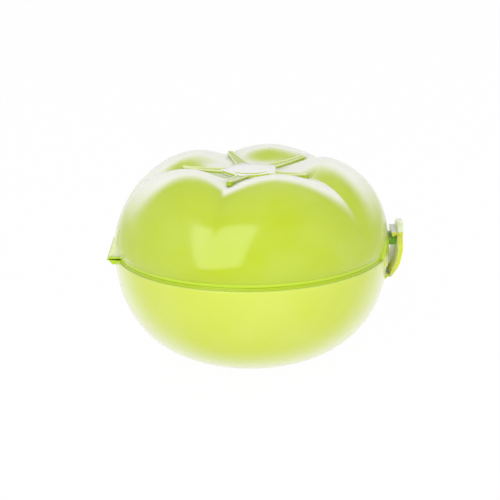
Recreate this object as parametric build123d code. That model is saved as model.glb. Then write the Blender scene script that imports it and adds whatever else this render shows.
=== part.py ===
from build123d import *
from math import cos, hypot, pi, sin
import os

# A round lidded keeper for one piece of fruit, moulded in one shot. The bowl stands on
# a small flat foot. The lid has five lobes like a tomato and a raised calyx star on its
# crown. A moulded-in web at -X is the lid's hinge, and a second web at +X carries the
# latch clip. The origin is the centre of the foot, +Z is up, and sizes are millimetres.

# Walls and the seam between the two halves. The bowl's radius drives the whole keeper:
# setbacks and stands are measured inwards and outwards from it.
wall = 1.9
bowl_radius = 56.6
seam_height = 45.3
band_setback = 1.1
band_height = 1.3
band_edge = 0.3
fuse_overlap = 1.0

# Bowl
foot_radius = 20.0
foot_core = 11.7
side_start = 0.42
side_end = 0.14
cavity_end = 0.35
side_fullness = 0.851
base_fullness = 0.952
shoulder_edge = 0.45
spigot_height = 3.0
spigot_wall = 1.4
spigot_lead = 0.6
spigot_clearance = 0.4
spigot_root = 3.5
mouth_relief = 0.2

# Lid
lobe_count = 5
belly_setback = 0.1
belly_rise = 6.7
skirt_tuck = 1.4
crest_radius = 29.3
crest_rise = 37.25
dome_fullness = 1.11
groove_depth = 4.7
pad_radius = 11.5
pit_depth = 5.05
crown_step = 0.3
hub_margin = 0.3
hub_setback = 0.5
hub_overlap = 3.0

# Calyx star
star_thickness = 1.5
star_seat = 0.7
star_corner_radius = 13.0
star_disc_radius = 8.4
star_disc_rise = 0.35
sepal_reach = 28.0
sepal_root_width = 5.0
sepal_root_inset = 4.0
sepal_tip_width = 2.8
sepal_rise = 1.5
sepal_slope = 1.2
sepal_step = 0.1
seat_clearance = 0.05

# Lid hinge
hinge_stand = 1.9
hinge_width = 30.0
hinge_bead_radius = 0.5
web_clearance = 0.05
lid_lip_thickness = 1.1
lid_lip_overhang = 0.4
gusset_step = 0.2
gusset_height = 12.6
gusset_lean = 4.6
gusset_cap = 2.6
gusset_depth = 9.0
flange_depth = 8.0
flange_thickness = 2.3
flange_drop = 0.9
flange_bevel = 1.7

# Landings under the latch
landing_stand = 0.7
landing_depth = 3.5
landing_step = 0.3
landing_shoulder = 0.4
landing_taper = 2.8
lid_landing_width = 40.0
lid_landing_height = 11.5
bowl_landing_width = 37.0
bowl_landing_height = 10.8
lug_height = 5.0

# Latch clip and its keeper. The strap's curve is given as shares of its rise and bow.
latch_width = 26.0
latch_foot_width = 20.0
latch_head_width = 14.0
latch_thickness = 1.7
latch_foot_thickness = 0.9
latch_pivot_stand = 0.3
latch_pivot_drop = 10.4
latch_bead_radius = 0.5
latch_bow = 3.2
strap_curve = ((0.01, 0.03), (0.24, 0.38), (0.43, 0.75), (0.65, 0.97))
latch_waist = 0.3
latch_shoulder = 0.8
latch_hook_rise = 5.7
hook_thickness = 1.5
hook_stand = 1.3
hook_tooth = 0.4
hook_tooth_width = 1.0
thumb_tab_rise = 3.4
thumb_tab_root = 1.0
thumb_tab_lean = 1.0
keeper_width = 12.0
keeper_stand = 3.0
keeper_thickness = 2.6
keeper_lip = 0.4
keeper_lip_width = 1.0
keeper_clearance = 0.4

quarter = pi / 2
band_radius = bowl_radius - band_setback
shoulder_height = seam_height - band_height
belly_radius = bowl_radius - belly_setback
lid_skirt_height = seam_height + band_height / 2
lid_belly_height = seam_height + belly_rise
crest_height = seam_height + crest_rise
pad_height = crest_height - pit_depth
crown_height = pad_height + crown_step
skirt_radius = belly_radius - skirt_tuck
spigot_radius = skirt_radius - wall - spigot_clearance
lobe_angle = 360 / lobe_count
hinge_reach = bowl_radius + hinge_stand
flange_root = hinge_reach - flange_depth
landing_radius = bowl_radius + landing_stand
latch_pivot_reach = bowl_radius + latch_pivot_stand
pivot_height = seam_height - latch_pivot_drop
hook_reach = bowl_radius + hook_stand
hook_under = seam_height + latch_hook_rise
keeper_reach = bowl_radius + keeper_stand


def revolved(*corners):
    """Turn a closed outline of (radius, height) corners round the Z axis."""
    outline = Polyline(*[(radius, 0, height) for radius, height in corners], close=True)
    return revolve(make_face(outline), Axis.Z)


def side_slab(width, *corners):
    """Extrude a closed outline of (x, z) corners by equal amounts to both sides of Y = 0."""
    outline = Polyline(*[(x, 0, z) for x, z in corners], close=True)
    return extrude(make_face(outline), width / 2, dir=(0, 1, 0), both=True)


def front_slab(depth, corners):
    """Extrude a closed outline of (y, z) corners along +X."""
    outline = Polyline(*[(0, y, z) for y, z in corners], close=True)
    return extrude(make_face(outline), depth, dir=(1, 0, 0))


def bowl_side(angle, inset):
    """Radius and height on the bowl's side. The angle runs from 0 at the foot to a
    quarter turn at the shoulder, and the inset is square to the outside."""
    def outside(a):
        radius = foot_core + (bowl_radius - foot_core) * sin(a) ** side_fullness
        height = shoulder_height * (1 - max(cos(a), 0.0) ** base_fullness)
        return radius, height

    step = 0.01
    radius, height = outside(angle)
    low_radius, low_height = outside(angle - step)
    high_radius, high_height = outside(min(angle + step, quarter))
    run = high_radius - low_radius
    rise = high_height - low_height
    length = hypot(run, rise)
    return radius - inset * rise / length, height + inset * run / length


def bowl_body(inset, last_angle, *mouth):
    """Round body under the bowl's side curve, closed by straight lines over the mouth."""
    angles = [last_angle - (last_angle - side_start) * share / 6 for share in range(6, -1, -1)]
    side = [bowl_side(angle, inset) for angle in angles]
    foot = (foot_radius, 0, inset)
    curve = Spline(foot, *[(radius, 0, height) for radius, height in side])
    floor = Line((0, 0, inset), foot)
    top = Polyline(curve @ 1, *[(radius, 0, height) for radius, height in mouth], (0, 0, inset))
    return revolve(make_face(floor + curve + top), Axis.Z)


def lid_outline(turn, inset):
    """Points of the lid's outline, as (radius, height), from its skirt to its pad.
    Turn is 0 on a lobe's middle and 1 in a groove, which deepens with the square of
    the turn. The inset is square to the wall."""
    points = []

    def add(radius, height, out, up, groove):
        sunk = inset + groove_depth * groove * turn ** 2
        points.append((radius - sunk * out, height - sunk * up))

    for share in (0.0, 0.5):
        height = lid_skirt_height + (lid_belly_height - lid_skirt_height) * share
        add(belly_radius - skirt_tuck * (1 - share) ** 2, height, 1, 0, 0)
    for step in range(7):
        a = quarter * step / 6
        radius = crest_radius + (belly_radius - crest_radius) * max(cos(a), 0.0) ** dome_fullness
        height = lid_belly_height + (crest_height - lid_belly_height) * sin(a) ** dome_fullness
        add(radius, height, cos(a), sin(a), step / 6)
    for step in (1, 2, 3, 4):
        share = step / 4
        wave = (1 + cos(pi * share)) / 2
        radius = crest_radius - (crest_radius - pad_radius) * share
        add(radius, pad_height + pit_depth * wave, 0, 1, wave)
    return points


def lid_body(inset, hub_radius):
    """Solid lid shape with its wall set in by the inset: one lofted sector for each
    lobe, and a round hub under the crown."""
    core_radius = hub_radius - hub_overlap
    sections = []
    for turn in (-1, -0.5, 0, 0.5, 1):
        plane = Plane.XZ.rotated((0, 0, turn * lobe_angle / 2))
        outline = lid_outline(turn, inset)
        curve = Spline(*[plane.from_local_coords((radius, height)) for radius, height in outline])
        inner = [(core_radius, outline[-1][1]), (core_radius, outline[0][1])]
        rest = [plane.from_local_coords(point) for point in inner]
        back = Polyline(curve @ 1, *rest, curve @ 0)
        sections.append(Wire(curve.edges() + back.edges()))
    lobe = Solid.make_loft(sections)
    hub_top = crown_height - inset
    body = revolved((0, lid_skirt_height), (hub_radius, lid_skirt_height), (hub_radius, hub_top), (0, hub_top))
    for index in range(lobe_count):
        body += Rot(0, 0, index * lobe_angle) * lobe
    return body


def landing(width, height, end_radius):
    """Curved raised pad on the +X side, a half ellipse seen from the front. A negative
    height makes it hang down from the seam."""
    low = seam_height
    high = seam_height + height
    ring = revolved(
        (landing_radius - landing_depth, low),
        (landing_radius - landing_step, low),
        (landing_radius, low + height * landing_shoulder),
        (end_radius, high),
        (landing_radius - landing_depth, high),
    )
    front = Plane(origin=(landing_radius / 2, 0, seam_height), x_dir=(0, 1, 0), z_dir=(1, 0, 0))
    return ring & extrude(front * Ellipse(width / 2, abs(height)), landing_radius)


# Bowl: round wall, rim band, spigot that the lid closes over, hinge flange and landing
rim_corners = (
    (bowl_radius - shoulder_edge, shoulder_height),
    (band_radius, shoulder_height),
    (band_radius, seam_height - band_edge),
    (band_radius - band_edge, seam_height),
    (0, seam_height),
)
bowl = bowl_body(0, quarter - side_end, (bowl_radius, shoulder_height - shoulder_edge), *rim_corners)
bowl_cavity = bowl_body(
    wall,
    quarter - cavity_end,
    (spigot_radius - spigot_wall, seam_height - spigot_root),
    (spigot_radius - spigot_wall, seam_height + spigot_height + fuse_overlap),
    (0, seam_height + spigot_height + fuse_overlap),
)
spigot = revolved(
    (spigot_radius - spigot_wall - fuse_overlap, seam_height - fuse_overlap),
    (spigot_radius, seam_height - fuse_overlap),
    (spigot_radius, seam_height + spigot_height - spigot_lead),
    (spigot_radius - spigot_clearance, seam_height + spigot_height),
    (spigot_radius - spigot_wall - fuse_overlap, seam_height + spigot_height),
)
bead_gap = hinge_bead_radius / 2
flange = side_slab(
    hinge_width,
    (-hinge_reach, seam_height - bead_gap),
    (-flange_root, seam_height - flange_drop),
    (-flange_root, seam_height - flange_thickness),
    (-hinge_reach + flange_bevel, seam_height - flange_thickness),
)
bowl_landing = landing(bowl_landing_width, -bowl_landing_height, landing_radius - landing_taper)
lug = side_slab(
    latch_foot_width,
    (latch_pivot_reach, pivot_height),
    (latch_pivot_reach - landing_depth, pivot_height + lug_height / 2),
    (latch_pivot_reach - landing_depth, pivot_height - lug_height / 2),
)


def bead(x, z, radius, length):
    """Round bar along Y, as a web's fold line."""
    return Pos(x, 0, z) * Rot(90, 0, 0) * Cylinder(radius, length)


hinge_pocket = bead(
    -hinge_reach, seam_height, hinge_bead_radius + web_clearance, hinge_width + 2 * fuse_overlap
)
latch_pocket = bead(latch_pivot_reach, pivot_height, latch_bead_radius + web_clearance, latch_width)
latch_seat = bowl_landing + lug
bowl = bowl + flange + latch_seat + spigot
bowl -= bowl_cavity
bowl -= hinge_pocket
bowl -= latch_pocket

# Lid: lobed shell, rim band, hinge gusset with its lip, landing and keeper
band = revolved(
    (0, seam_height),
    (band_radius - band_edge, seam_height),
    (band_radius, seam_height + band_edge),
    (band_radius, seam_height + band_height),
    (0, seam_height + band_height),
)
lip = side_slab(
    hinge_width + 2 * lid_lip_overhang,
    (-hinge_reach, seam_height + bead_gap),
    (-flange_root, seam_height + bead_gap),
    (-flange_root, seam_height + lid_lip_thickness),
    (-hinge_reach, seam_height + lid_lip_thickness),
)
gusset = side_slab(
    hinge_width,
    (-hinge_reach + gusset_step, seam_height + lid_lip_thickness / 2),
    (-hinge_reach + gusset_lean, seam_height + gusset_height),
    (-hinge_reach + gusset_lean + gusset_cap, seam_height + gusset_height + gusset_cap),
    (-hinge_reach + gusset_depth, seam_height + gusset_height + gusset_cap),
    (-hinge_reach + gusset_depth, seam_height + lid_lip_thickness / 2),
)
lid_landing = landing(lid_landing_width, lid_landing_height, landing_radius - landing_taper)
keeper_top = hook_under - hook_tooth - keeper_clearance - keeper_lip
keeper = side_slab(
    keeper_width,
    (landing_radius - landing_depth, keeper_top - keeper_thickness),
    (keeper_reach, keeper_top - keeper_thickness),
    (keeper_reach, keeper_top + keeper_lip),
    (keeper_reach - keeper_lip_width, keeper_top + keeper_lip),
    (keeper_reach - keeper_lip_width, keeper_top),
    (landing_radius - landing_depth, keeper_top),
)
mouth_radius = skirt_radius - wall + mouth_relief
lid_cavity = lid_body(wall, pad_radius - hub_setback)
lid_cavity += revolved(
    (0, seam_height - fuse_overlap),
    (mouth_radius, seam_height - fuse_overlap),
    (mouth_radius, lid_skirt_height + mouth_relief),
    (0, lid_skirt_height + mouth_relief),
)
hinge_mount = lip + gusset
latch_mount = lid_landing + keeper
lid = lid_body(0, pad_radius + hub_margin) + hinge_mount + band + latch_mount
lid -= lid_cavity
lid -= hinge_pocket


def calyx(clearance):
    """Star that sits in the crown: a five-cornered pad with a raised disc, and one
    tapered sepal lying in each groove. The clearance widens it, for its own pocket."""
    bottom = crown_height - star_seat
    top = crown_height + star_thickness - star_seat
    pad = Pos(0, 0, bottom) * extrude(RegularPolygon(star_corner_radius + clearance, lobe_count), top - bottom)
    pad = Rot(0, 0, lobe_angle / 2) * pad
    star = pad + Pos(0, 0, top) * extrude(Circle(star_disc_radius), star_disc_rise)
    root = star_corner_radius - sepal_root_inset
    tip_centre = sepal_reach - sepal_tip_width / 2
    for index in range(lobe_count):
        plan = make_hull(
            (Pos(root, 0) * Circle(sepal_root_width / 2 + clearance)).edges()
            + (Pos(tip_centre, 0) * Circle(sepal_tip_width / 2 + clearance)).edges()
        )
        bar = extrude(plan, crest_height)
        side = side_slab(
            2 * sepal_root_width,
            (root - sepal_root_inset, bottom + sepal_step),
            (sepal_reach + fuse_overlap, bottom + sepal_slope),
            (sepal_reach + fuse_overlap, top + sepal_slope + sepal_rise / 2),
            (root - sepal_root_inset, top + sepal_step),
        )
        star += Rot(0, 0, (index + 0.5) * lobe_angle) * (bar & side)
    return star


calyx_star = calyx(0)
lid -= calyx(seat_clearance)

# Webs: the folds of the two living hinges
lid_hinge_web = bead(-hinge_reach, seam_height, hinge_bead_radius, hinge_width)
latch_hinge_web = bead(latch_pivot_reach, pivot_height, latch_bead_radius, latch_foot_width)

# Latch clip: bowed strap from the web, hook over the keeper and thumb tab above it
strap_inner = latch_pivot_reach + latch_bow
strap_outer = strap_inner + latch_thickness
strap_rise = hook_under - pivot_height
inner_line = [
    (latch_pivot_reach + latch_bow * out, pivot_height + strap_rise * up) for up, out in strap_curve
]
outer_line = [(x + latch_thickness, z) for x, z in reversed(inner_line[1:])]
hook_top = hook_under + hook_thickness
head_top = hook_top + thumb_tab_rise
latch_profile = side_slab(
    latch_width,
    *inner_line,
    (strap_inner, hook_under),
    (hook_reach + hook_tooth_width, hook_under),
    (hook_reach + hook_tooth_width, hook_under - hook_tooth),
    (hook_reach, hook_under - hook_tooth),
    (hook_reach, hook_top),
    (strap_inner, hook_top),
    (strap_inner + thumb_tab_lean / 2, head_top),
    (strap_outer + thumb_tab_lean, head_top),
    (strap_outer + thumb_tab_lean, hook_top + thumb_tab_root),
    *outer_line,
    (inner_line[0][0] + latch_foot_thickness, pivot_height),
)
waist_height = pivot_height + strap_rise * latch_waist
shoulder_line = pivot_height + strap_rise * latch_shoulder
right_side = [
    (latch_foot_width / 2, pivot_height - latch_bead_radius),
    (latch_width / 2, waist_height),
    (latch_width / 2, shoulder_line),
    (latch_head_width / 2, hook_under),
    (latch_head_width / 2, head_top),
]
left_side = [(-y, z) for y, z in reversed(right_side)]
latch_front = front_slab(2 * landing_radius, right_side + left_side)
latch = latch_profile & latch_front
latch -= latch_pocket

nodes = {
    "bowl_shell": bowl,
    "lid_shell": lid,
    "lid_hinge_web": lid_hinge_web,
    "latch_clip": latch,
    "latch_hinge_web": latch_hinge_web,
    "calyx_star": calyx_star,
}
os.makedirs("parts", exist_ok=True)
for name, shape in nodes.items():
    export_step(shape, f"parts/{name}.step")
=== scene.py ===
import math

import bmesh
import bpy
import numpy as np
from mathutils import Matrix, Vector


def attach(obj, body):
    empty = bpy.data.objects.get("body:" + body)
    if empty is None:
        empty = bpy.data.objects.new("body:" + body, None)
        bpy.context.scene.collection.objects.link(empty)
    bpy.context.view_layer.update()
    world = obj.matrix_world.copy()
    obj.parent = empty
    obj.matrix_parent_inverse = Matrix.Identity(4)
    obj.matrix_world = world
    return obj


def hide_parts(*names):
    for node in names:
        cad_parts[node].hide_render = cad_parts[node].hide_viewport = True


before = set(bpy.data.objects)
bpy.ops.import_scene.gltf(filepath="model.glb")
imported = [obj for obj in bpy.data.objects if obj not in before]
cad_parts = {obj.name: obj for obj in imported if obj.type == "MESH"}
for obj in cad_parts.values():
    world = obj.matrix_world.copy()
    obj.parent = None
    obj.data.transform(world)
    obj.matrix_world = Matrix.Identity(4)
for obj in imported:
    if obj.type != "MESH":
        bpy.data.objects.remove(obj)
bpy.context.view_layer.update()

scene = bpy.context.scene
scene.view_settings.view_transform = "Standard"

# Camera: a long lens at table height, looking slightly down along +Y.
# The aim, the height angle and the roll were fitted to the keeper's outline.
camera_distance = 0.600
camera_height_angle = math.radians(16.67)
camera_roll = math.radians(-0.83)
camera_target = Vector((-0.00062, 0.0, 0.0439))
focal_length_mm = 103.46
sensor_width_mm = 36.0
view_reach = 20.0

back = Vector((0, -math.cos(camera_height_angle), math.sin(camera_height_angle)))
level = Vector((1, 0, 0))
upright = back.cross(level)
camera_x = level * math.cos(camera_roll) + upright * math.sin(camera_roll)
camera_y = back.cross(camera_x)
camera_data = bpy.data.cameras.new("camera")
camera_data.lens = focal_length_mm
camera_data.sensor_width = sensor_width_mm
camera_data.clip_end = view_reach
camera = bpy.data.objects.new("camera", camera_data)
camera_turn = Matrix((camera_x, camera_y, back)).transposed().to_4x4()
camera.matrix_world = Matrix.Translation(camera_target + back * camera_distance) @ camera_turn
scene.collection.objects.link(camera)
scene.camera = camera

# Studio: a white paper table under the keeper and white surroundings. The camera and
# the gloss see both as plain white, and they fill the keeper's shaded sides with light.
floor_size = 6.0
floor_hex = "F4F4F2"
surround_light = 0.50
# how much of the table is plain glow: in the light that it gives, and as seen or mirrored
given_glow = 0.6
seen_glow = 0.985


def linear(hex_colour):
    """Turn an sRGB hex colour into linear RGBA, channel by channel."""
    channels = np.array([int(hex_colour[i:i + 2], 16) for i in (0, 2, 4)]) / 255
    low = channels / 12.92
    high = ((channels + 0.055) / 1.055) ** 2.4
    return (*np.where(channels <= 0.04045, low, high), 1.0)


def node(tree, kind, settings=None, links=None):
    """Add a shader node. Settings go to its properties or inputs by name or index, and
    links give the output that feeds each input. By index, a map range reads from 1 to 2
    and gives 3 to 4, and a colour mix goes from 6 to 7 by the share in 0."""
    made = tree.nodes.new(kind)
    for key, value in (settings or {}).items():
        if isinstance(key, str) and hasattr(made, key):
            setattr(made, key, value)
        else:
            made.inputs[key].default_value = value
    for key, output in (links or {}).items():
        tree.links.new(output, made.inputs[key])
    return made


def new_tree(name):
    """A named material with an empty node tree and its output node."""
    material = bpy.data.materials.new(name)
    material.use_nodes = True
    material.node_tree.nodes.clear()
    output = node(material.node_tree, "ShaderNodeOutputMaterial")
    return material, material.node_tree, output


world = bpy.data.worlds.new("white_surroundings")
scene.world = world
world.use_nodes = True
sky = world.node_tree
sky.nodes.clear()
sky_out = node(sky, "ShaderNodeOutputWorld")
sky_path = node(sky, "ShaderNodeLightPath")
seen_or_mirrored = node(sky, "ShaderNodeMath", {"operation": "MAXIMUM"},
                        {0: sky_path.outputs["Is Camera Ray"], 1: sky_path.outputs["Is Glossy Ray"]})
lighting = node(sky, "ShaderNodeBackground", {"Color": (1, 1, 1, 1), "Strength": surround_light})
backdrop = node(sky, "ShaderNodeBackground", {"Color": (1, 1, 1, 1), "Strength": 1.0})
sky_mix = node(sky, "ShaderNodeMixShader", {}, {0: seen_or_mirrored.outputs[0],
                                                1: lighting.outputs[0], 2: backdrop.outputs[0]})
sky.links.new(sky_mix.outputs[0], sky_out.inputs[0])

floor_mesh = bpy.data.meshes.new("floor")
floor_half = floor_size / 2
floor_corners = [(-floor_half, -floor_half, 0), (floor_half, -floor_half, 0),
                 (floor_half, floor_half, 0), (-floor_half, floor_half, 0)]
floor_mesh.from_pydata(floor_corners, [], [(0, 1, 2, 3)])
floor = bpy.data.objects.new("floor", floor_mesh)
scene.collection.objects.link(floor)
# Matt white paper: it looks evenly white right up to the foot, with hardly a shadow.
white_sweep, paper_tree, paper_output = new_tree("white_paper_sweep")
paper_path = node(paper_tree, "ShaderNodeLightPath")
paper = node(paper_tree, "ShaderNodeBsdfDiffuse", {"Color": linear(floor_hex)})
glow = node(paper_tree, "ShaderNodeEmission", {"Color": (1, 1, 1, 1), "Strength": 1.0})
paper_mirrored = node(paper_tree, "ShaderNodeMath", {"operation": "MAXIMUM"},
                      {0: paper_path.outputs["Is Glossy Ray"],
                       1: paper_path.outputs["Is Transmission Ray"]})
paper_seen = node(paper_tree, "ShaderNodeMath", {"operation": "MAXIMUM"},
                  {0: paper_path.outputs["Is Camera Ray"], 1: paper_mirrored.outputs[0]})
glow_share = node(paper_tree, "ShaderNodeMapRange", {3: given_glow, 4: seen_glow},
                  {0: paper_seen.outputs[0]})
paper_mix = node(paper_tree, "ShaderNodeMixShader", {},
                 {0: glow_share.outputs[0], 1: paper.outputs[0], 2: glow.outputs[0]})
paper_tree.links.new(paper_mix.outputs[0], paper_output.inputs[0])
floor_mesh.materials.append(white_sweep)


# Lamps: one large soft box over the keeper, a window-shaped one at the front left that
# the lobes mirror as pale panes, and a diffused fill on the right without a mirror image.
def soft_box(name, place, aim, width, height, watts, mirrored=True):
    """Rectangular area lamp at a place, turned to face its aim, with a mirror image
    in glossy surfaces or without one."""
    data = bpy.data.lights.new(name, "AREA")
    data.shape = "RECTANGLE"
    data.size = width
    data.size_y = height
    data.energy = watts
    lamp = bpy.data.objects.new(name, data)
    facing = Vector(aim) - Vector(place)
    lamp.matrix_world = Matrix.Translation(place) @ facing.to_track_quat("-Z", "Y").to_matrix().to_4x4()
    lamp.visible_glossy = mirrored
    scene.collection.objects.link(lamp)


keeper_centre = (0, 0, 0.045)
soft_box("overhead_box", (0.1, 0.2, 1.1), keeper_centre, width=1.2, height=1.2, watts=1.6)
soft_box("window_box", (-0.32, -0.645, 0.42), keeper_centre, width=0.52, height=0.82, watts=3.7)
soft_box("right_fill", (0.85, -0.75, 0.25), keeper_centre, width=0.9, height=0.9, watts=5.0,
         mirrored=False)

# Bowl: a round polypropylene shell, moulded in one shot with the lid, the hinges and the
# latch. It stands on a flat foot and has a shoulder, a rim band and a spigot for the lid.
wall = 0.0019
seam_height = 0.0453
band_radius = 0.0555
band_height = 0.0013
band_edge = 0.0003
foot_radius = 0.020
foot_core = 0.0117
bowl_radius = 0.0566
side_fullness = 0.851
base_fullness = 0.952
side_start = 0.42
shoulder_edge = 0.00045
spigot_radius = 0.0528
spigot_wall = 0.0014
spigot_height = 0.0030
spigot_root = 0.0035
quarter = math.pi / 2
# the band's painted shade starts this far inside its radius
shade_reach = 0.001
# angles short of the quarter turn where the side gives way to the shoulder and the spigot
shoulder_turn = 0.06
spigot_turn = 0.35
around_steps = 360
foot_steps = 7
blend_steps = 13
outside_steps = 90
inside_steps = 60
slope_step = 0.004
# points nearer than the first merge, and edges shorter than the second vanish
merge_reach = 1e-7
sliver_reach = 1e-8
# faces that meet at more than this keep a crisp edge
sharp_angle = math.radians(38)
# most of a side that a rounded corner takes
corner_share = 0.45


def surface(name, points):
    """Mesh of a grid of points, rows by columns. The last column joins the first, and
    points that fall together, as at a pole, become one."""
    rows, columns = points.shape[:2]
    index = np.arange(rows * columns).reshape(rows, columns)
    index = np.concatenate([index, index[:, :1]], axis=1)
    quads = np.stack([index[:-1, :-1], index[:-1, 1:], index[1:, 1:], index[1:, :-1]], axis=-1)
    return finished(name, points.reshape(-1, 3), quads.reshape(-1, 4))


def finished(name, points, faces):
    """Object at the origin from points and faces: merged doubles, outward normals and
    smooth shading, with edges past the sharp angle left crisp."""
    mesh = bpy.data.meshes.new(name)
    mesh.from_pydata(points.tolist(), [], [list(face) for face in faces])
    work = bmesh.new()
    work.from_mesh(mesh)
    bmesh.ops.remove_doubles(work, verts=work.verts, dist=merge_reach)
    bmesh.ops.dissolve_degenerate(work, edges=work.edges, dist=sliver_reach)
    bmesh.ops.recalc_face_normals(work, faces=work.faces)
    work.to_mesh(mesh)
    work.free()
    mesh.polygons.foreach_set("use_smooth", np.ones(len(mesh.polygons), bool))
    mesh.set_sharp_from_angle(angle=sharp_angle)
    made = bpy.data.objects.new(name, mesh)
    scene.collection.objects.link(made)
    return made


def rounded(corners, radius, steps=5):
    """Open outline through the corners. Each inner corner becomes a quadratic curve
    between two points at the radius from it, or at a set share of a short side."""
    corners = np.array(corners, float)
    points = [corners[0]]
    for before, corner, after in zip(corners[:-2], corners[1:-1], corners[2:]):
        back_way = (before - corner) / np.linalg.norm(before - corner)
        on_way = (after - corner) / np.linalg.norm(after - corner)
        reach = min(radius, corner_share * np.linalg.norm(before - corner),
                    corner_share * np.linalg.norm(after - corner))
        share = np.linspace(0, 1, steps)[:, None]
        first = corner + back_way * reach
        last = corner + on_way * reach
        points.extend(first * (1 - share) ** 2 + corner * 2 * share * (1 - share) + last * share ** 2)
    points.append(corners[-1])
    return np.array(points)


def bowl_side(angles, inset):
    """Radius and height on the bowl's side at angles from 0 at the foot to a quarter
    turn at the shoulder: powers of sine and cosine, set in square to the outside."""
    def outside(a):
        radius = foot_core + (bowl_radius - foot_core) * np.sin(a) ** side_fullness
        height = (seam_height - band_height) * (1 - np.cos(a).clip(0) ** base_fullness)
        return np.stack([radius, height], axis=-1)

    slope = outside(np.minimum(angles + slope_step, quarter)) - outside(angles - slope_step)
    slope /= np.linalg.norm(slope, axis=-1, keepdims=True)
    return outside(angles) + inset * np.stack([-slope[:, 1], slope[:, 0]], axis=-1)


def bowl_under(inset, last_angle, count):
    """Bowl outline from the middle of the foot up to the last angle. Between the flat
    and the side a cubic starts level and meets the side's own slope."""
    side = bowl_side(np.linspace(side_start, last_angle, count), inset)
    start, following = side[0], side[1]
    width = start[0] - foot_radius
    slope = (following[1] - start[1]) / (following[0] - start[0]) * width / (start[1] - inset)
    share = np.linspace(0, 1, blend_steps, endpoint=False)
    climb = (3 - slope) * share ** 2 + (slope - 2) * share ** 3
    blend = np.stack([foot_radius + width * share, inset + (start[1] - inset) * climb], axis=-1)
    flat = np.stack([np.linspace(0, foot_radius, foot_steps, endpoint=False),
                     np.full(foot_steps, inset)], axis=-1)
    return np.concatenate([flat, blend, side])


def turned(outline, angles):
    """Turn an outline of (radius, height) rows round the Z axis at the angles."""
    radius = outline[:, :1]
    height = np.repeat(outline[:, 1:], len(angles), axis=1)
    return np.stack([radius * np.cos(angles), radius * np.sin(angles), height], axis=-1)


shoulder_height = seam_height - band_height
spigot_top = seam_height + spigot_height
spigot_inside = spigot_radius - spigot_wall
bowl_outside = bowl_under(0, quarter - shoulder_turn, outside_steps)
bowl_inside = bowl_under(wall, quarter - spigot_turn, inside_steps)[::-1]
bowl_rim = rounded([bowl_outside[-1], (bowl_radius, shoulder_height), (band_radius, shoulder_height),
                    (band_radius, seam_height), (spigot_radius, seam_height),
                    (spigot_radius, spigot_top), (spigot_inside, spigot_top),
                    (spigot_inside, seam_height - spigot_root), bowl_inside[0]], shoulder_edge)
bowl_around = np.linspace(0, 2 * math.pi, around_steps, endpoint=False)
bowl = surface("bowl_skin", turned(np.concatenate([bowl_outside, bowl_rim, bowl_inside]), bowl_around))

# Polypropylene: how far a painted reflection pales its edges, how its flow clouds and mould
# ripple run, and how light goes in. Edges are on the scale of 0 face on to 1 edge on.
top_edge_start = 0.42
top_edge_end = 0.62
side_edge_end = 0.97
upward_start = 0.3
upward_end = 0.85
cloud_size = 0.025
cloud_low = 0.3
cloud_high = 0.7
cloud_tint = 0.07
cloud_gloss = 0.05
ripple_size = 0.00625
ripple_strength = 0.06
ripple_depth = 0.0002
plastic_ior = 1.49
light_reach = 0.004
light_spread = (0.9, 1.0, 0.35)


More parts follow.
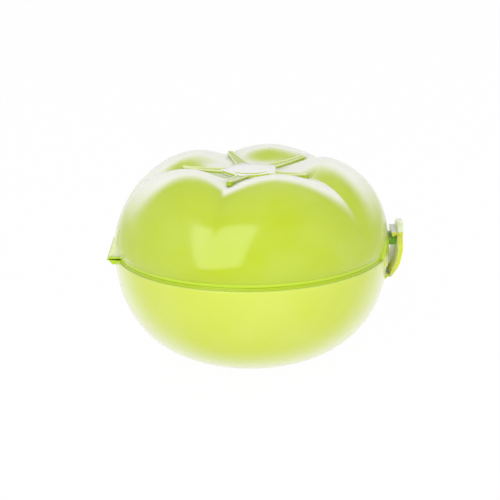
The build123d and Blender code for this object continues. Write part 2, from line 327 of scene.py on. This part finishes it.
def polypropylene(name, body_hex, edge_hex, roughness, top_paleness, side_paleness,
                  depth=0.25, side_edge_start=0.45):
    """Glossy, slightly translucent moulded polypropylene. The colour pales with a painted
    reflection of the white surroundings where the wall is seen edge on: side_paleness of the
    way to the edge colour on upright walls, from side_edge_start on, and top_paleness on ones
    that face up. Depth is the share of light that goes through the surface. Faint clouds and
    a ripple break the gloss."""
    material, tree, output = new_tree(name)
    place = node(tree, "ShaderNodeTexCoord")
    # flow clouds, as the melt leaves in a thin wall
    clouds = node(tree, "ShaderNodeTexNoise", {"Scale": 1 / cloud_size, "Detail": 2.0},
                  {"Vector": place.outputs["Object"]})
    # ripple that the polish of the mould leaves
    ripple = node(tree, "ShaderNodeTexNoise", {"Scale": 1 / ripple_size, "Detail": 1.0},
                  {"Vector": place.outputs["Object"]})
    # painted reflection: the colour pales towards the edge colour on walls seen edge on, and most on tops
    # that face up to the bright surroundings
    facing = node(tree, "ShaderNodeLayerWeight", {"Blend": 0.5})
    upward = node(tree, "ShaderNodeSeparateXYZ", {}, {0: place.outputs["Normal"]})
    top_edge = node(tree, "ShaderNodeMapRange",
                    {"interpolation_type": "SMOOTHSTEP", 1: top_edge_start, 2: top_edge_end, 3: 0.0,
                     4: top_paleness},
                    {0: facing.outputs["Facing"]})
    on_top = node(tree, "ShaderNodeMapRange",
                  {"interpolation_type": "SMOOTHSTEP", 1: upward_start, 2: upward_end},
                  {0: upward.outputs["Z"]})
    top_share = node(tree, "ShaderNodeMath", {"operation": "MULTIPLY"},
                     {0: top_edge.outputs[0], 1: on_top.outputs[0]})
    side_share = node(tree, "ShaderNodeMapRange",
                      {"interpolation_type": "SMOOTHSTEP", 1: side_edge_start, 2: side_edge_end, 3: 0.0,
                       4: side_paleness},
                      {0: facing.outputs["Facing"]})
    painted_reflection_share = node(tree, "ShaderNodeMath", {"operation": "MAXIMUM"},
                      {0: top_share.outputs[0], 1: side_share.outputs[0]})
    cloud_share = node(tree, "ShaderNodeMapRange", {1: cloud_low, 2: cloud_high, 3: 0.0, 4: cloud_tint},
                       {0: clouds.outputs["Fac"]})
    cloudy = node(tree, "ShaderNodeMix", {"data_type": "RGBA", 6: linear(body_hex), 7: linear(edge_hex)},
                  {0: cloud_share.outputs[0]})
    colour = node(tree, "ShaderNodeMix", {"data_type": "RGBA", 7: linear(edge_hex)},
                  {0: painted_reflection_share.outputs[0], 6: cloudy.outputs[2]})
    gloss = node(tree, "ShaderNodeMapRange",
                 {1: cloud_low, 2: cloud_high, 3: roughness, 4: roughness + cloud_gloss},
                 {0: clouds.outputs["Fac"]})
    bump = node(tree, "ShaderNodeBump", {"Strength": ripple_strength, "Distance": ripple_depth},
                {"Height": ripple.outputs["Fac"]})
    plastic = node(tree, "ShaderNodeBsdfPrincipled",
                   {"IOR": plastic_ior, "Subsurface Weight": depth, "Subsurface Scale": light_reach,
                    "Subsurface Radius": light_spread},
                   {"Base Color": colour.outputs[2], "Roughness": gloss.outputs[0],
                    "Normal": bump.outputs[0]})
    tree.links.new(plastic.outputs[0], output.inputs[0])
    return material


def dress(piece, body, slot, material, *replaced):
    """Give a piece its material and body, and hide the nodes that it stands for. The slot is not used."""
    piece.data.materials.clear()
    piece.data.materials.append(material)
    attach(piece, body)
    if replaced:
        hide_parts(*replaced)


def shade_band(piece, low, high, material):
    """Give the outward faces of a turned skin between two heights, near or past the
    band's radius, their own material, which paints the band's shade."""
    piece.data.materials.append(material)
    for face in piece.data.polygons:
        middle = face.center
        outward = face.normal.x * middle.x + face.normal.y * middle.y > 0
        far_out = math.hypot(middle.x, middle.y) > band_radius - shade_reach
        if low < middle.z < high and outward and far_out:
            face.material_index = 1


# The bowl's wall lets light in: a warm yellow green, painted paler than the lid's with the reflection of
# the bright table, that goes milky towards its outline with painted reflection.
bowl_plastic = polypropylene("moulded_polypropylene_bowl", "C9D744", "F3F6DE", roughness=0.16,
                             top_paleness=0.8, side_paleness=0.8, side_edge_start=0.40)
dress(bowl, "bowl", "bowl_plastic", bowl_plastic, "bowl_shell")
# The band lies in the shade under the lid's overhang, and its deeper green line is painted shade.
shaded_band_plastic = polypropylene("shaded_polypropylene_rim_band", "A9C200", "D6E27A", roughness=0.18,
                             top_paleness=0.2, side_paleness=0.25, depth=0.15, side_edge_start=0.6)
shade_band(bowl, shoulder_height, seam_height, shaded_band_plastic)

# Lid: five-lobed polypropylene shell like the top half of a tomato, moulded with the
# bowl. Its lobes are full near the seam and fall into sharp grooves towards the crown.
lobe_count = 5
belly_radius = 0.0565
belly_rise = 0.0067
skirt_tuck = 0.0014
crest_radius = 0.0293
crest_rise = 0.03725
dome_fullness = 1.11
groove_depth = 0.0047
groove_softness = 0.035
pad_radius = 0.0115
pit_depth = 0.00505
crown_step = 0.0003
mouth_relief = 0.0002
crown_ring_share = 0.6
skirt_clear = 0.0002
skirt_foot_step = 0.00025
shade_margin = 0.0001
lobe_steps = 96
lid_outside_steps = 72
lid_inside_steps = 48

skirt_height = seam_height + band_height / 2
belly_height = seam_height + belly_rise
crest_height = seam_height + crest_rise
pad_height = crest_height - pit_depth
crown_height = pad_height + crown_step


def lid_rows(inset, count):
    """Rows of the lid's outline from the crown down to the skirt, as radius, height,
    the outward direction and the share of the groove's depth. A cosine wave makes the
    pit, powers of sine and cosine the dome, and a parabola the skirt. The dome has the
    count of rows, and the pit and the skirt a quarter of it."""
    share = np.linspace(1, 0, count // 4)
    wave = (1 + np.cos(math.pi * share)) / 2
    pit = np.stack([crest_radius - (crest_radius - pad_radius) * share, pad_height + pit_depth * wave,
                    0 * share, 1 + 0 * share, wave], axis=-1)
    angle = np.linspace(quarter, 0, count)[1:]
    dome = np.stack([crest_radius + (belly_radius - crest_radius) * np.cos(angle) ** dome_fullness,
                     belly_height + (crest_height - belly_height) * np.sin(angle) ** dome_fullness,
                     np.cos(angle), np.sin(angle), angle / quarter], axis=-1)
    drop = np.linspace(0, 1, count // 4)[1:]
    skirt = np.stack([belly_radius - skirt_tuck * drop ** 2,
                      belly_height + (skirt_height - belly_height) * drop,
                      1 + 0 * drop, 0 * drop, 0 * drop], axis=-1)
    rows = np.concatenate([pit, dome, skirt])
    rows[:, 0] -= inset * rows[:, 2]
    rows[:, 1] -= inset * rows[:, 3]
    return rows


def lid_points(rows, angles):
    """Points of the lid's skin. Each row sinks square to itself by the groove's depth
    times the square of the turn away from the lobe's middle, eased in the crease."""
    turn = (angles / (2 * math.pi / lobe_count) + 0.5) % 1 * 2 - 1
    from_crease = 1 - np.abs(turn)
    eased = np.sqrt(from_crease ** 2 + groove_softness ** 2) - groove_softness
    sunk = groove_depth * rows[:, 4:5] * (1 - eased) ** 2
    radius = rows[:, 0:1] - sunk * rows[:, 2:3]
    height = rows[:, 1:2] - sunk * rows[:, 3:4]
    return np.stack([radius * np.cos(angles), radius * np.sin(angles), height], axis=-1)


def plain_rows(outline):
    """Outline points as rows that no groove sinks."""
    outline = np.asarray(outline)
    return np.concatenate([outline, np.zeros((len(outline), 3))], axis=1)


outer_rows = lid_rows(0, lid_outside_steps)
inner_rows = lid_rows(wall, lid_inside_steps)[::-1]
crown = plain_rows([(0, crown_height), (pad_radius * crown_ring_share, crown_height),
                    (pad_radius + crown_step, crown_height)])
band_top = seam_height + band_height
above_band = outer_rows[outer_rows[:, 1] > band_top + skirt_clear]
skirt_foot = above_band[-1, :2]
mouth_radius = belly_radius - skirt_tuck - wall + mouth_relief
band_rows = plain_rows(rounded([skirt_foot, (skirt_foot[0] - skirt_foot_step, band_top),
                                (band_radius, band_top),
                                (band_radius, seam_height), (mouth_radius, seam_height),
                                (mouth_radius, skirt_height)], band_edge))
ceiling = plain_rows([(pad_radius, crown_height - wall), (0, crown_height - wall)])
lid_skin_rows = np.concatenate([crown, above_band, band_rows, inner_rows, ceiling])
lid_around = np.linspace(0, 2 * math.pi, lobe_count * lobe_steps, endpoint=False)
lid = surface("lid_skin", lid_points(lid_skin_rows, lid_around))
# The lid is a fuller green than the bowl's painted-paler body, and its crests look nearly white edge on
# with painted reflection of the white surroundings.
lid_plastic = polypropylene("moulded_polypropylene_lid", "B4C806", "F7F8EC", roughness=0.14,
                            top_paleness=0.95, side_paleness=0.6, side_edge_start=0.65)
dress(lid, "lid", "lid_plastic", lid_plastic, "lid_shell")
# The lid's band lies under the skirt's overhang and looks like a bright line above the bowl's darker one:
# its deep, unpaled green is painted shade and green light bounced from the plastic around it.
shaded_seam_plastic = polypropylene("shaded_polypropylene_lid_band", "B6D41A", "DDE88A", roughness=0.16,
                             top_paleness=0.2, side_paleness=0.25, depth=0.15, side_edge_start=0.6)
shade_band(lid, seam_height, band_top - shade_margin, shaded_seam_plastic)

# Lid hinge: a flange on the bowl, and a lip with a leaning gusset on the lid, with the
# fold between their tips. All are polypropylene, moulded on with the shells, and the
# roots follow the round walls so that nothing shows inside.
hinge_reach = 0.0585
hinge_half_width = 0.015
lip_overhang = 0.0004
lip_top = 0.0011
fold_gap = 0.00025
gusset_height = 0.0126
gusset_lean = 0.0046
gusset_cap = 0.0026
gusset_step = 0.0002
gusset_edge = 0.0003
root_sink = 0.0009
flange_drop = 0.0009
flange_thickness = 0.0023
flange_bevel = 0.0017
flange_root_radius = 0.0540
lip_edge = 0.0002
flange_edge = 0.0003
bevel_segments = 3
bevel_angle = math.radians(35)
hinge_stations = 25
gusset_steps = 14
gusset_search_steps = 60
reading_rounds = 3
# first of the lid's outer rows past the pit and the crest, from where the height only falls
first_side_row = 20


def prism(name, outlines, stations, edge):
    """Solid along Y: one closed (x, z) outline for each station's y, joined by quads and
    closed at both ends. A bevel of the edge's width rounds the corners past its angle."""
    count = outlines.shape[1]
    across = np.broadcast_to(stations[:, None], (len(stations), count))
    points = np.stack([outlines[:, :, 0], across, outlines[:, :, 1]], axis=-1)
    index = np.arange(len(stations) * count).reshape(len(stations), count)
    looped = np.concatenate([index, index[:, :1]], axis=1)
    quads = np.stack([looped[:-1, :-1], looped[:-1, 1:], looped[1:, 1:], looped[1:, :-1]], axis=-1)
    made = finished(name, points.reshape(-1, 3), [*quads.reshape(-1, 4), index[0], index[-1]])
    bevel = made.modifiers.new("soft_edges", "BEVEL")
    bevel.width = edge
    bevel.segments = bevel_segments
    bevel.limit_method = "ANGLE"
    bevel.angle_limit = bevel_angle
    return made


def lid_side(height, across):
    """Distance along X from the axis to the lid's outside on the hinge side, at a height
    and a y, by rounds of reading the radius at the angle that the last one gives."""
    radius = belly_radius
    for _ in range(reading_rounds):
        angle = math.pi - math.asin(across / radius)
        column = lid_points(outer_rows[first_side_row:], np.array([angle]))[::-1, 0]
        radius = np.interp(height, column[:, 2], np.hypot(column[:, 0], column[:, 1]))
    return math.sqrt(radius ** 2 - across ** 2)


def gusset_outline(across):
    """Gusset's (x, z) corners at a y: up the leaning face until it dips into the lid's
    wall, then down inside the wall at a set depth below the outside."""
    low = seam_height + lip_top / 2
    bend = seam_height + gusset_height
    heights = np.linspace(low, bend + gusset_cap, gusset_search_steps)
    lean = np.interp(heights, [low, bend, bend + gusset_cap],
                     [gusset_step, gusset_lean, gusset_lean + gusset_cap])
    face = lean - hinge_reach
    root = np.array([root_sink - lid_side(height, across) for height in heights])
    kept = np.linspace(low, heights[face < root - gusset_edge][-1], gusset_steps)
    outer = np.stack([np.interp(kept, heights, face), kept], axis=-1)
    inner = np.stack([np.interp(kept, heights, root), kept], axis=-1)
    return np.concatenate([outer, inner[::-1]])


def lip_outline(across):
    """Lip's (x, z) corners at a y, from its tip to inside the lid's wall."""
    root = root_sink - lid_side(seam_height + lip_top, across)
    return [(-hinge_reach, seam_height + fold_gap), (-hinge_reach, seam_height + lip_top),
            (root, seam_height + lip_top), (root, seam_height + fold_gap)]


def flange_outline(across):
    """Flange's (x, z) corners at a y, from its tip to inside the bowl's wall."""
    root = -math.sqrt(flange_root_radius ** 2 - across ** 2)
    low = seam_height - flange_thickness
    return [(-hinge_reach, seam_height - fold_gap), (root, seam_height - flange_drop), (root, low),
            (flange_bevel - hinge_reach, low)]


gusset_places = np.linspace(-hinge_half_width, hinge_half_width, hinge_stations)
gusset_outlines = np.array([gusset_outline(across) for across in gusset_places])
gusset = prism("hinge_gusset", gusset_outlines, gusset_places, gusset_edge)
# The gusset is thin and lit from behind, and its pale milky green is painted light that comes through it.
backlit_gusset_plastic = polypropylene("backlit_polypropylene_gusset", "DCE4B4", "EEF1DC", roughness=0.2,
                             top_paleness=0.9, side_paleness=0.6, depth=0.6)
dress(gusset, "lid", "lid_plastic", backlit_gusset_plastic)
lip_places = gusset_places * (1 + lip_overhang / hinge_half_width)
lip = prism("hinge_lip", np.array([lip_outline(across) for across in lip_places]), lip_places, lip_edge)
# painted shade: the lip wears the band's shaded green, for the shaded gap at the fold
dress(lip, "lid", "lid_plastic", shaded_seam_plastic)
flange_outlines = np.array([flange_outline(across) for across in gusset_places])
flange = prism("hinge_flange", flange_outlines, gusset_places, flange_edge)
# painted shade: the flange's top lies in the shadow of the lid's lip
dress(flange, "bowl", "bowl_plastic", shaded_seam_plastic)

# Landings: low curved pads under the latch, a half ellipse above the seam on the lid and
# another below it on the bowl, moulded on, with softened rims.
landing_radius = 0.0573
landing_step = 0.0003
landing_shoulder = 0.4
landing_taper = 0.0028
landing_root_radius = 0.0549
landing_rim = 0.0006
lid_landing_half_width = 0.020
lid_landing_height = 0.0115
bowl_landing_half_width = 0.0185
bowl_landing_height = 0.0108
landing_edge = 0.0002
landing_root_margin = 0.00005
# share of the way to the half ellipse where the soft rim starts, and of the quarter turn
# where the outermost section stands
rim_start = 0.93
landing_end = 0.985
landing_stations = 61
landing_rows = 28


def landing(name, half_width, height):
    """Pad whose radius runs by straight lines over its height, cut to a half ellipse.
    From a share of the way to the ellipse it drops in a quarter circle to a soft rim."""
    stations = half_width * np.sin(np.linspace(-1, 1, landing_stations) * quarter * landing_end)
    outlines = []
    for across in stations:
        reach = height * math.sqrt(1 - (across / half_width) ** 2)
        up = np.linspace(0, 1, landing_rows) * reach
        share = up / height
        radius = np.interp(share, [0, landing_shoulder, 1],
                           [landing_radius - landing_step, landing_radius, landing_radius - landing_taper])
        way = np.hypot(across / half_width, share)
        drop = ((way - rim_start) / (1 - rim_start)).clip(0, 1)
        radius = np.maximum(radius - landing_rim * (1 - np.sqrt(1 - drop ** 2)),
                            landing_root_radius + landing_root_margin)
        front = np.stack([np.sqrt(radius ** 2 - across ** 2), seam_height + up], axis=-1)
        root = math.sqrt(landing_root_radius ** 2 - across ** 2)
        outlines.append([(root, seam_height), *front, (root, seam_height + reach)])
    return prism(name, np.array(outlines), stations, landing_edge)


lid_landing = landing("lid_landing", lid_landing_half_width, lid_landing_height)
# painted shade: the lid's landing wears the band's shaded green, for the shade that the latch casts on it
dress(lid_landing, "lid", "lid_plastic", shaded_seam_plastic)
bowl_landing = landing("bowl_landing", bowl_landing_half_width, -bowl_landing_height)
dress(bowl_landing, "bowl", "bowl_plastic", bowl_plastic)

# Keeper and lug: the lipped nose on the lid that the latch hooks over, and the small
# wedge on the bowl that carries the latch's fold. Both are polypropylene, moulded on.
keeper_half_width = 0.006
keeper_reach = 0.0596
keeper_low = 0.0472
keeper_high = 0.0498
keeper_lip = 0.0004
keeper_lip_width = 0.0010
lug_half_width = 0.010
lug_reach = 0.05635
lug_height = 0.0025
lug_sink = 0.0004
lug_front_half = 0.0003
pivot_height = 0.0349
keeper_edge = 0.0002
lug_edge = 0.00015
keeper_stations = 13
lug_stations = 17
# The nose is solid right through and lies in the shade of the latch's hook: its deepest green is partly
# the thick plastic's own tint and partly painted shade.
thick_shaded_plastic = polypropylene("thick_shaded_polypropylene_nose", "6FB000", "A8CC20", roughness=0.2,
                              top_paleness=0.3, side_paleness=0.2)


def keeper_outline(across):
    """Keeper's (x, z) corners at a y, from inside the lid's wall out to the lip."""
    root = math.sqrt(landing_root_radius ** 2 - across ** 2)
    behind_lip = keeper_reach - keeper_lip_width
    return [(root, keeper_low), (keeper_reach, keeper_low), (keeper_reach, keeper_high + keeper_lip),
            (behind_lip, keeper_high + keeper_lip), (behind_lip, keeper_high), (root, keeper_high)]


def lug_outline(across):
    """Lug's (x, z) corners at a y: a wedge with a narrow front beside the fold."""
    root = math.sqrt(landing_root_radius ** 2 - across ** 2) - lug_sink
    return [(root, pivot_height - lug_height), (lug_reach, pivot_height - lug_front_half),
            (lug_reach, pivot_height + lug_front_half), (root, pivot_height + lug_height)]


keeper_places = np.linspace(-keeper_half_width, keeper_half_width, keeper_stations)
keeper_outlines = np.array([keeper_outline(across) for across in keeper_places])
keeper = prism("keeper_nose", keeper_outlines, keeper_places, keeper_edge)
dress(keeper, "lid", "lid_plastic", thick_shaded_plastic)
lug_places = np.linspace(-lug_half_width, lug_half_width, lug_stations)
lug = prism("latch_lug", np.array([lug_outline(across) for across in lug_places]), lug_places, lug_edge)
dress(lug, "bowl", "bowl_plastic", bowl_plastic)

# Latch clip: a bowed strap with a rounded thumb tab, and a hook inside its head that
# reaches over the nose. It is thin moulded polypropylene, joined to the lug by its fold.
# The strap's two lines, as x and height from the foot up to the tab, follow its bow.
strap_inner = [(0.0570, 0.03506), (0.0581, 0.0388), (0.0593, 0.0418), (0.0600, 0.0454),
               (0.0601, 0.0510), (0.0602, 0.0535), (0.0606, 0.0559)]
strap_outer = [(0.0579, 0.0349), (0.0598, 0.0388), (0.0610, 0.0418), (0.0617, 0.0454),
               (0.0624, 0.0510), (0.0628, 0.0535), (0.0628, 0.0559)]
strap_bend = 0.004
strap_edge = 0.00045
# heights, from the foot through the belly to the tab, and the strap's half width at each
width_heights = [0.0344, 0.0397, 0.0478, 0.0510, 0.0559]
half_widths = [0.010, 0.013, 0.013, 0.007, 0.007]
tab_corner = 0.0048
strap_steps = 150
bend_steps = 9
ring_steps = 24
# faces whose normal's x is below this belong to the inner side, painted paler by the light through the
# strap
inward_limit = -0.5
hook_reach = 0.0579
hook_low = 0.0506
hook_under = 0.0510
hook_top = 0.0525
hook_tooth_width = 0.0010
hook_root = 0.0609
hook_half_width = 0.0066
hook_edge = 0.00018
hook_stations = 9
# The strap's cut side looks yellower than the shells, and its top edges look pale with painted reflection.
latch_plastic = polypropylene("moulded_polypropylene_latch", "C8CE22", "F2F4E4", roughness=0.15,
                              top_paleness=0.95, side_paleness=0.85, depth=0.9, side_edge_start=0.6)
# Light comes through the strap, and its inner side is painted paler than the outer one with that light.
backlit_strap_inside_plastic = polypropylene("backlit_polypropylene_strap_inside", "E8F0B4", "F8FAE8",
                                     roughness=0.3, top_paleness=0.6, side_paleness=0.6, depth=0.9)
# The tab stands clear of the lid, lit from all sides, and its milky look with little green is painted
# light.
lit_tab_plastic = polypropylene("lit_polypropylene_thumb_tab", "D2DAC3", "F2F4E4", roughness=0.2,
                            top_paleness=0.9, side_paleness=0.8, depth=0.9)


def strap_points():
    """Sections of the strap from its foot to its tab, each a rounded rectangle between
    the inner and the outer line. The half width falls by a quarter circle at the tab's
    corners, and the last rows draw in to round the tab's end."""
    inner = rounded(strap_inner, strap_bend, bend_steps)
    outer = rounded(strap_outer, strap_bend, bend_steps)
    spread = np.linspace(0, len(inner) - 1, strap_steps)
    place = np.arange(len(inner))
    ring = (np.arange(ring_steps) + 0.5) * 2 * math.pi / ring_steps
    rows = []
    for at in spread:
        near = np.array([np.interp(at, place, inner[:, axis]) for axis in (0, 1)])
        far = np.array([np.interp(at, place, outer[:, axis]) for axis in (0, 1)])
        thick = np.linalg.norm(far - near) / 2
        way = (far - near) / (2 * thick)
        height = (near[1] + far[1]) / 2
        half_width = np.interp(height, width_heights, half_widths)
        corner = max(0.0, (height - (strap_inner[-1][1] - tab_corner)) / tab_corner)
        half_width -= tab_corner * (1 - math.sqrt(1 - min(corner, 1.0) ** 2))
        out = np.sign(np.cos(ring)) * (thick - strap_edge) + strap_edge * np.cos(ring)
        across = np.sign(np.sin(ring)) * (half_width - strap_edge) + strap_edge * np.sin(ring)
        middle = (near + far) / 2
        rows.append(np.stack([middle[0] + out * way[0], across, middle[1] + out * way[1]], axis=-1))
    first, last = rows[0], rows[-1]
    rows.insert(0, np.broadcast_to(first.mean(axis=0), first.shape))
    rows.append(np.broadcast_to(last.mean(axis=0), last.shape))
    return np.array(rows)


strap = surface("latch_strap", strap_points())
dress(strap, "latch", "latch_plastic", latch_plastic, "latch_clip")
strap.data.materials.append(backlit_strap_inside_plastic)
strap.data.materials.append(lit_tab_plastic)
# painted light: faces above the hook take the tab's milky colour, and inward faces the paler inside
# colour, for the light that comes through the strap
for face in strap.data.polygons:
    if face.center.z > hook_top:
        face.material_index = 2
    elif face.normal.x < inward_limit:
        face.material_index = 1
behind_tooth = hook_reach + hook_tooth_width
hook_corners = [(hook_root, hook_under), (behind_tooth, hook_under), (behind_tooth, hook_low),
                (hook_reach, hook_low), (hook_reach, hook_top), (hook_root, hook_top)]
hook_places = np.linspace(-hook_half_width, hook_half_width, hook_stations)
hook = prism("latch_hook", np.array([hook_corners] * hook_stations), hook_places, hook_edge)
dress(hook, "latch", "latch_plastic", latch_plastic)

# Calyx star: a five-cornered pad with a low disc, and five raised sepals, each a shallow
# trough between thin rims. It is moulded polypropylene and sits on the lid's crown, with
# the sepals in the grooves.
star_bottom = 0.0771
star_top = 0.0786
star_disc_rise = 0.00035
star_disc_radius = 0.0084
star_corner_radius = 0.013
star_corner_softness = 0.06
sepal_root = 0.0105
sepal_reach = 0.0280
sepal_root_half_width = 0.0027
sepal_tip_half_width = 0.0013
sepal_rise = 0.00177
sepal_under_tilt = 1.1 / 24
sepal_bend_start = 0.005
sepal_lift = 0.0001
sepal_rim = 0.0005
sepal_rim_share = 0.35
sepal_trough = 0.0005
trough_dip = 0.00005
leaf_drop = 0.0003
rim_drop = 0.0002
rim_ease = 0.00004
pad_softness = 0.0003
disc_ring_share = 0.6
pad_steps = 300
sepal_steps = 24
tip_steps = 9
# shares of the tip's quarter turn between which its sections stand
tip_start = 0.15
tip_end = 0.97
# The pad lies nearly edge on to the eye, and looks like a white shield: a painted reflection of the white
# surroundings.
calyx_plastic = polypropylene("moulded_polypropylene_calyx", "AFC814", "FDFDF4", roughness=0.2,
                              top_paleness=0.98, side_paleness=0.3)


def pad_points():
    """Rows of the pad from its middle out over the disc and the rim and back below. The
    pentagon's radius is the in-radius over the cosine of the turn from a side's middle,
    with the corners eased."""
    angles = np.linspace(0, 2 * math.pi, pad_steps, endpoint=False)
    side_half = math.pi / lobe_count
    from_corner = np.abs((angles / (2 * side_half)) % 1 - 0.5) * 2 * side_half
    from_middle = side_half - np.sqrt(from_corner ** 2 + star_corner_softness ** 2)
    pentagon = star_corner_radius * math.cos(side_half) / np.cos(from_middle.clip(0))
    disc = np.full_like(angles, star_disc_radius)
    disc_top = star_top + star_disc_rise
    soft = pad_softness
    rings = [(disc * 0, disc_top), (disc * disc_ring_share, disc_top), (disc - soft, disc_top),
             (disc, disc_top - soft / 3), (disc + soft, star_top + soft / 10),
             (disc + 2 * soft, star_top), (pentagon - soft, star_top),
             (pentagon - soft / 3, star_top - soft / 3), (pentagon, star_top - soft),
             (pentagon, star_bottom), (disc * 0, star_bottom)]
    return np.array([np.stack([radius * np.cos(angles), radius * np.sin(angles), radius * 0 + height],
                              axis=-1) for radius, height in rings])


def sepal_points(turn, shape):
    """Sections along one sepal from under the pad to its rounded tip. Each corner of the
    shape is a share of the half width, an inset in rim widths, and a drop below the top,
    which climbs with the square of the way along; a drop of None is the underside, which
    climbs by its own tilt."""
    tip_middle = sepal_reach - sepal_tip_half_width
    tip_turn = np.linspace(tip_start, tip_end, tip_steps) * quarter
    along = np.concatenate([np.linspace(sepal_root, tip_middle, sepal_steps),
                            sepal_reach - sepal_tip_half_width * (1 - np.sin(tip_turn))])
    half_width = np.interp(along, [sepal_root, tip_middle], [sepal_root_half_width, sepal_tip_half_width])
    past = ((along - sepal_reach) / sepal_tip_half_width + 1).clip(0, 1)
    half_width = half_width * np.sqrt(1 - past ** 2)
    from_start = along - sepal_bend_start
    top = star_top + sepal_lift + sepal_rise * (from_start / (sepal_reach - sepal_bend_start)) ** 2
    low = star_bottom + sepal_lift + from_start * sepal_under_tilt
    rim_width = np.minimum(sepal_rim, sepal_rim_share * half_width)
    rows = []
    for share, inset, drop in shape:
        across = share * half_width + inset * rim_width
        height = low if drop is None else top - drop
        rows.append(np.stack([along * math.cos(turn) - across * math.sin(turn),
                              along * math.sin(turn) + across * math.cos(turn), height], axis=-1))
    sections = np.array(rows).transpose(1, 0, 2)
    start = np.broadcast_to(sections[:1].mean(axis=1, keepdims=True), (1, *sections.shape[1:]))
    end = np.broadcast_to(sections[-1:].mean(axis=1, keepdims=True), (1, *sections.shape[1:]))
    return np.concatenate([start, sections, end])


pad = surface("calyx_pad", pad_points())
dress(pad, "lid", "calyx_plastic", calyx_plastic, "calyx_star")
# A sepal's trough looks as green as the lid, and whitens with painted reflection only where it is seen
# edge on.
leaf_plastic = polypropylene("moulded_polypropylene_sepal", "A9C40A", "EEF2D2", roughness=0.2,
                             top_paleness=0.2, side_paleness=0.9, side_edge_start=0.62)
# The rims are hair thin, and their bright lines are painted highlights of the sepals' rounded edges.
highlight_rim_plastic = polypropylene("highlight_polypropylene_rim", "EAF49E", "F6F8E4", roughness=0.2,
                            top_paleness=0.7, side_paleness=0.3, depth=0.5)
leaf_shape = [(-1, 0, None), (-1, 0.1, leaf_drop), (-1, 1.2, sepal_trough),
              (0, 0, sepal_trough + trough_dip),
              (1, -1.2, sepal_trough), (1, -0.1, leaf_drop), (1, 0, None)]
# the rim's corners, as insets in rim widths from the sepal's side and drops below the top
rim_corners = [(0, sepal_trough + rim_drop), (0, rim_drop), (0.2, rim_ease), (0.5, 0), (0.8, rim_ease),
               (1.1, rim_drop), (1.2, sepal_trough + rim_drop)]
for number in range(lobe_count):
    sepal_turn = (number + 0.5) * 2 * math.pi / lobe_count
    sepal = surface(f"calyx_sepal_{number + 1}", sepal_points(sepal_turn, leaf_shape))
    dress(sepal, "lid", "calyx_plastic", leaf_plastic)
    for side in (-1, 1):
        rim_shape = [(side, -side * inset, drop) for inset, drop in rim_corners]
        rim = surface(f"calyx_rim_{number + 1}_{side + 2}", sepal_points(sepal_turn, rim_shape))
        dress(rim, "lid", "calyx_plastic", highlight_rim_plastic)

# Folds of the two living hinges: thin polypropylene, moulded in one with both sides and
# drawn here by the frame's own beads.
# A fold whitens where the plastic has been bent, so both look paler than the shells.
fold_plastic = polypropylene("folded_polypropylene_web", "B4CC18", "EEF2CC", roughness=0.22,
                             top_paleness=0.5, side_paleness=0.5)
for name in ("lid_hinge_web", "latch_hinge_web"):
    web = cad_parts[name]
    web.data.materials.clear()
    web.data.materials.append(fold_plastic)
